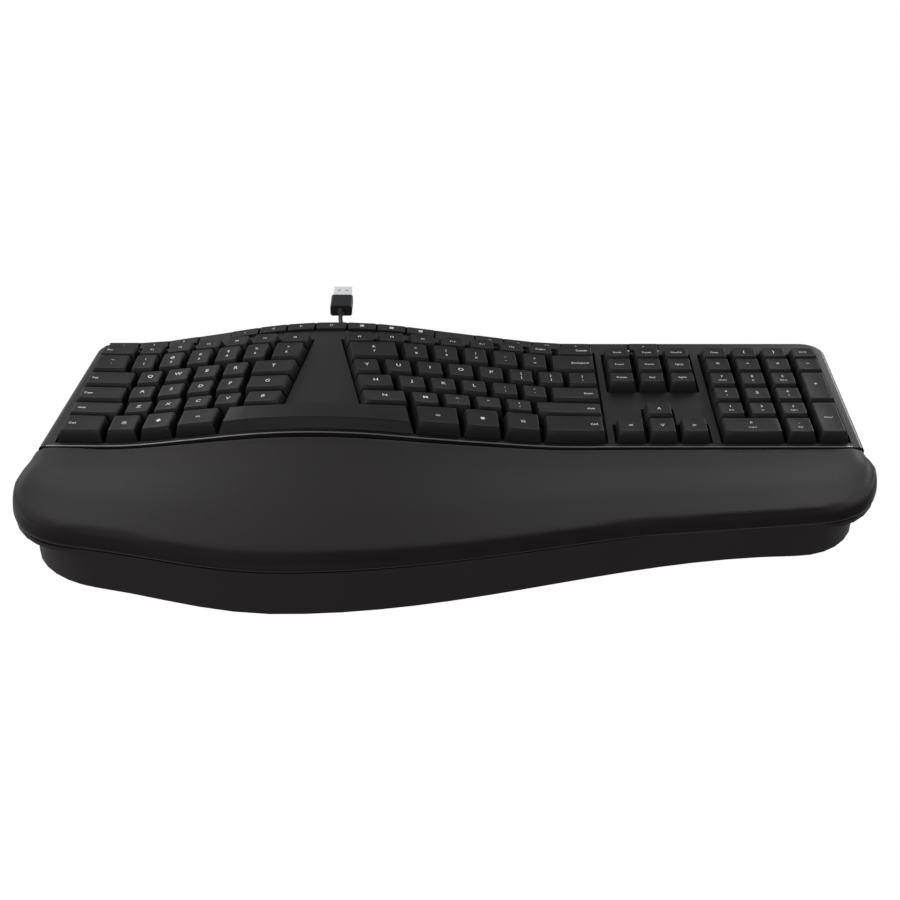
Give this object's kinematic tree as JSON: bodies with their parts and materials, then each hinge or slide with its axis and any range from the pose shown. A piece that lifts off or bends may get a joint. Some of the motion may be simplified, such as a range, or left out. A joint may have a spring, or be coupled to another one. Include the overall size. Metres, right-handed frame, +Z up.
{
  "type": "ergonomic keyboard",
  "caption": "Split, curved computer keyboard with a gull-shaped deck, number pad, padded palm rest on a raised plinth, fold-out feet and a folded cable with its plug.",
  "frame": {"origin": "centre of the footprint on the desk, at the underside of the rubber feet", "axes": "+X to the typist's right along the rows of keys, +Y away from the typist towards the rear edge, +Z up"},
  "size_m": [0.4637, 0.3479, 0.0394],
  "materials": {
    "case_plastic": "satin moulded, dark grey",
    "key_plastic": "fine textured, near black",
    "palm_leather": "soft grained synthetic, near black",
    "inner_plastic": "plain",
    "dome_rubber": "plain",
    "membrane_film": "clear film",
    "plate_steel": "plain",
    "board_laminate": "solder resist",
    "cable_jacket": "satin",
    "tie_plastic": "plain",
    "plug_metal": "bright plated"
  },
  "bodies": {
    "housing": {"top_case": "case_plastic", "bottom_case": "case_plastic", "palm_rest_tray": "case_plastic", "palm_rest_pad": "palm_leather", "key_frame": "inner_plastic", "dome_sheet": "dome_rubber", "rubber_feet": "dome_rubber", "membrane": "membrane_film", "backing_plate": "plate_steel", "case_screws": "plate_steel", "controller_board": "board_laminate", "cable_lead": "cable_jacket", "cable_hank": "cable_jacket", "plug_lead": "cable_jacket", "cable_strain_relief": "cable_jacket", "plug_strain_relief": "cable_jacket", "plug_body": "cable_jacket", "hank_tie": "tie_plastic", "plug_shell": "plug_metal"},
    "escape_key_body": {"escape_key": "key_plastic"},
    "function_keys_left_body": {"function_keys_left": "key_plastic"},
    "number_keys_left_body": {"number_keys_left": "key_plastic"},
    "tab_key_body": {"tab_key": "key_plastic"},
    "upper_letters_left_body": {"upper_letters_left": "key_plastic"},
    "caps_lock_key_body": {"caps_lock_key": "key_plastic"},
    "home_letters_left_body": {"home_letters_left": "key_plastic"},
    "shift_key_left_body": {"shift_key_left": "key_plastic"},
    "lower_letters_left_body": {"lower_letters_left": "key_plastic"},
    "delete_key_body": {"delete_key": "key_plastic"},
    "function_keys_right_body": {"function_keys_right": "key_plastic"},
    "backspace_key_body": {"backspace_key": "key_plastic"},
    "number_keys_right_body": {"number_keys_right": "key_plastic"},
    "backslash_key_body": {"backslash_key": "key_plastic"},
    "upper_letters_right_body": {"upper_letters_right": "key_plastic"},
    "enter_key_body": {"enter_key": "key_plastic"},
    "home_letters_right_body": {"home_letters_right": "key_plastic"},
    "shift_key_right_body": {"shift_key_right": "key_plastic"},
    "lower_letters_right_body": {"lower_letters_right": "key_plastic"},
    "control_key_left_body": {"control_key_left": "key_plastic"},
    "command_keys_left_body": {"command_keys_left": "key_plastic"},
    "alt_key_left_body": {"alt_key_left": "key_plastic"},
    "alt_key_right_body": {"alt_key_right": "key_plastic"},
    "command_keys_right_body": {"command_keys_right": "key_plastic"},
    "control_key_right_body": {"control_key_right": "key_plastic"},
    "navigation_keys_body": {"navigation_keys": "key_plastic"},
    "arrow_key_left_body": {"arrow_key_left": "key_plastic"},
    "arrow_key_down_body": {"arrow_key_down": "key_plastic"},
    "arrow_key_right_body": {"arrow_key_right": "key_plastic"},
    "arrow_key_up_body": {"arrow_key_up": "key_plastic"},
    "numpad_operators_body": {"numpad_operators": "key_plastic"},
    "numpad_digits_body": {"numpad_digits": "key_plastic"},
    "numpad_zero_body": {"numpad_zero": "key_plastic"},
    "numpad_plus_body": {"numpad_plus": "key_plastic"},
    "numpad_enter_body": {"numpad_enter": "key_plastic"},
    "favourite_keys_body": {"favourite_keys": "key_plastic"},
    "media_keys_body": {"media_keys": "key_plastic"},
    "utility_keys_body": {"utility_keys": "key_plastic"},
    "space_bar_body": {"space_bar": "key_plastic"},
    "tilt_foot_left_body": {"tilt_foot_left": "case_plastic"},
    "tilt_foot_right_body": {"tilt_foot_right": "case_plastic"}
  },
  "joints": [
    {"name": "escape_key_press", "type": "slide", "parent": "housing", "child": "escape_key_body", "axis": [0, -0.0489, -0.9988], "range_m": [0, 0.002], "stiffness_N_per_m": 270, "springref_m": -0.0006},
    {"name": "function_keys_left_press", "type": "slide", "parent": "housing", "child": "function_keys_left_body", "axis": [0.132, -0.0484, -0.9901], "range_m": [0, 0.002], "stiffness_N_per_m": 1620, "springref_m": -0.0006},
    {"name": "number_keys_left_press", "type": "slide", "parent": "housing", "child": "number_keys_left_body", "axis": [0.114, -0.0485, -0.9923], "range_m": [0, 0.002], "stiffness_N_per_m": 1890, "springref_m": -0.0006},
    {"name": "tab_key_press", "type": "slide", "parent": "housing", "child": "tab_key_body", "axis": [0, -0.0489, -0.9988], "range_m": [0, 0.002], "stiffness_N_per_m": 270, "springref_m": -0.0006},
    {"name": "upper_letters_left_press", "type": "slide", "parent": "housing", "child": "upper_letters_left_body", "axis": [0.1422, -0.0484, -0.9887], "range_m": [0, 0.002], "stiffness_N_per_m": 1350, "springref_m": -0.0006},
    {"name": "caps_lock_key_press", "type": "slide", "parent": "housing", "child": "caps_lock_key_body", "axis": [0, -0.0489, -0.9988], "range_m": [0, 0.002], "stiffness_N_per_m": 270, "springref_m": -0.0006},
    {"name": "home_letters_left_press", "type": "slide", "parent": "housing", "child": "home_letters_left_body", "axis": [0.1415, -0.0484, -0.9888], "range_m": [0, 0.002], "stiffness_N_per_m": 1350, "springref_m": -0.0006},
    {"name": "shift_key_left_press", "type": "slide", "parent": "housing", "child": "shift_key_left_body", "axis": [0, -0.0489, -0.9988], "range_m": [0, 0.002], "stiffness_N_per_m": 270, "springref_m": -0.0006},
    {"name": "lower_letters_left_press", "type": "slide", "parent": "housing", "child": "lower_letters_left_body", "axis": [0.1429, -0.0483, -0.9886], "range_m": [0, 0.002], "stiffness_N_per_m": 1350, "springref_m": -0.0006},
    {"name": "delete_key_press", "type": "slide", "parent": "housing", "child": "delete_key_body", "axis": [-0.0144, -0.0488, -0.9987], "range_m": [0, 0.002], "stiffness_N_per_m": 270, "springref_m": -0.0006},
    {"name": "function_keys_right_press", "type": "slide", "parent": "housing", "child": "function_keys_right_body", "axis": [-0.1146, -0.0485, -0.9922], "range_m": [0, 0.002], "stiffness_N_per_m": 1890, "springref_m": -0.0006},
    {"name": "backspace_key_press", "type": "slide", "parent": "housing", "child": "backspace_key_body", "axis": [-0.0216, -0.0488, -0.9986], "range_m": [0, 0.002], "stiffness_N_per_m": 270, "springref_m": -0.0006},
    {"name": "number_keys_right_press", "type": "slide", "parent": "housing", "child": "number_keys_right_body", "axis": [-0.1219, -0.0485, -0.9914], "range_m": [0, 0.002], "stiffness_N_per_m": 1620, "springref_m": -0.0006},
    {"name": "backslash_key_press", "type": "slide", "parent": "housing", "child": "backslash_key_body", "axis": [-0.0062, -0.0488, -0.9988], "range_m": [0, 0.002], "stiffness_N_per_m": 270, "springref_m": -0.0006},
    {"name": "upper_letters_right_press", "type": "slide", "parent": "housing", "child": "upper_letters_right_body", "axis": [-0.1164, -0.0485, -0.992], "range_m": [0, 0.002], "stiffness_N_per_m": 1890, "springref_m": -0.0006},
    {"name": "enter_key_press", "type": "slide", "parent": "housing", "child": "enter_key_body", "axis": [-0.0247, -0.0488, -0.9985], "range_m": [0, 0.002], "stiffness_N_per_m": 270, "springref_m": -0.0006},
    {"name": "home_letters_right_press", "type": "slide", "parent": "housing", "child": "home_letters_right_body", "axis": [-0.1241, -0.0485, -0.9911], "range_m": [0, 0.002], "stiffness_N_per_m": 1620, "springref_m": -0.0006},
    {"name": "shift_key_right_press", "type": "slide", "parent": "housing", "child": "shift_key_right_body", "axis": [-0.0407, -0.0488, -0.998], "range_m": [0, 0.002], "stiffness_N_per_m": 270, "springref_m": -0.0006},
    {"name": "lower_letters_right_press", "type": "slide", "parent": "housing", "child": "lower_letters_right_body", "axis": [-0.1316, -0.0484, -0.9901], "range_m": [0, 0.002], "stiffness_N_per_m": 1350, "springref_m": -0.0006},
    {"name": "control_key_left_press", "type": "slide", "parent": "housing", "child": "control_key_left_body", "axis": [0, -0.0489, -0.9988], "range_m": [0, 0.002], "stiffness_N_per_m": 270, "springref_m": -0.0006},
    {"name": "command_keys_left_press", "type": "slide", "parent": "housing", "child": "command_keys_left_body", "axis": [0.1208, -0.0485, -0.9915], "range_m": [0, 0.002], "stiffness_N_per_m": 540, "springref_m": -0.0006},
    {"name": "alt_key_left_press", "type": "slide", "parent": "housing", "child": "alt_key_left_body", "axis": [0.1657, -0.0482, -0.985], "range_m": [0, 0.002], "stiffness_N_per_m": 270, "springref_m": -0.0006},
    {"name": "alt_key_right_press", "type": "slide", "parent": "housing", "child": "alt_key_right_body", "axis": [-0.137, -0.0484, -0.9894], "range_m": [0, 0.002], "stiffness_N_per_m": 270, "springref_m": -0.0006},
    {"name": "command_keys_right_press", "type": "slide", "parent": "housing", "child": "command_keys_right_body", "axis": [-0.1352, -0.0484, -0.9896], "range_m": [0, 0.002], "stiffness_N_per_m": 540, "springref_m": -0.0006},
    {"name": "control_key_right_press", "type": "slide", "parent": "housing", "child": "control_key_right_body", "axis": [-0.0345, -0.0488, -0.9982], "range_m": [0, 0.002], "stiffness_N_per_m": 270, "springref_m": -0.0006},
    {"name": "navigation_keys_press", "type": "slide", "parent": "housing", "child": "navigation_keys_body", "axis": [0, -0.0489, -0.9988], "range_m": [0, 0.002], "stiffness_N_per_m": 2430, "springref_m": -0.0006},
    {"name": "arrow_key_left_press", "type": "slide", "parent": "housing", "child": "arrow_key_left_body", "axis": [0, -0.0489, -0.9988], "range_m": [0, 0.002], "stiffness_N_per_m": 270, "springref_m": -0.0006},
    {"name": "arrow_key_down_press", "type": "slide", "parent": "housing", "child": "arrow_key_down_body", "axis": [0, -0.0489, -0.9988], "range_m": [0, 0.002], "stiffness_N_per_m": 270, "springref_m": -0.0006},
    {"name": "arrow_key_right_press", "type": "slide", "parent": "housing", "child": "arrow_key_right_body", "axis": [0, -0.0489, -0.9988], "range_m": [0, 0.002], "stiffness_N_per_m": 270, "springref_m": -0.0006},
    {"name": "arrow_key_up_press", "type": "slide", "parent": "housing", "child": "arrow_key_up_body", "axis": [0, -0.0489, -0.9988], "range_m": [0, 0.002], "stiffness_N_per_m": 270, "springref_m": -0.0006},
    {"name": "numpad_operators_press", "type": "slide", "parent": "housing", "child": "numpad_operators_body", "axis": [0, -0.0489, -0.9988], "range_m": [0, 0.002], "stiffness_N_per_m": 2160, "springref_m": -0.0006},
    {"name": "numpad_digits_press", "type": "slide", "parent": "housing", "child": "numpad_digits_body", "axis": [0, -0.0489, -0.9988], "range_m": [0, 0.002], "stiffness_N_per_m": 2700, "springref_m": -0.0006},
    {"name": "numpad_zero_press", "type": "slide", "parent": "housing", "child": "numpad_zero_body", "axis": [0, -0.0489, -0.9988], "range_m": [0, 0.002], "stiffness_N_per_m": 270, "springref_m": -0.0006},
    {"name": "numpad_plus_press", "type": "slide", "parent": "housing", "child": "numpad_plus_body", "axis": [0, -0.0489, -0.9988], "range_m": [0, 0.002], "stiffness_N_per_m": 270, "springref_m": -0.0006},
    {"name": "numpad_enter_press", "type": "slide", "parent": "housing", "child": "numpad_enter_body", "axis": [0, -0.0489, -0.9988], "range_m": [0, 0.002], "stiffness_N_per_m": 270, "springref_m": -0.0006},
    {"name": "favourite_keys_press", "type": "slide", "parent": "housing", "child": "favourite_keys_body", "axis": [0.0805, -0.0487, -0.9956], "range_m": [0, 0.001], "stiffness_N_per_m": 810, "springref_m": -0.0006},
    {"name": "media_keys_press", "type": "slide", "parent": "housing", "child": "media_keys_body", "axis": [0.0096, -0.0488, -0.9988], "range_m": [0, 0.001], "stiffness_N_per_m": 1890, "springref_m": -0.0006},
    {"name": "utility_keys_press", "type": "slide", "parent": "housing", "child": "utility_keys_body", "axis": [-0.0685, -0.0487, -0.9965], "range_m": [0, 0.001], "stiffness_N_per_m": 1350, "springref_m": -0.0006},
    {"name": "space_bar_press", "type": "slide", "parent": "housing", "child": "space_bar_body", "axis": [0, -0.0489, -0.9988], "range_m": [0, 0.002], "stiffness_N_per_m": 270, "springref_m": -0.0006},
    {"name": "tilt_foot_left_fold", "type": "hinge", "parent": "housing", "child": "tilt_foot_left_body", "pos_m": [-0.14, -0.05, 0.0029], "axis": [1, 0, 0], "range_deg": [0, 95]},
    {"name": "tilt_foot_right_fold", "type": "hinge", "parent": "housing", "child": "tilt_foot_right_body", "pos_m": [0.14, -0.05, 0.0029], "axis": [1, 0, 0], "range_deg": [0, 95]}
  ]
}
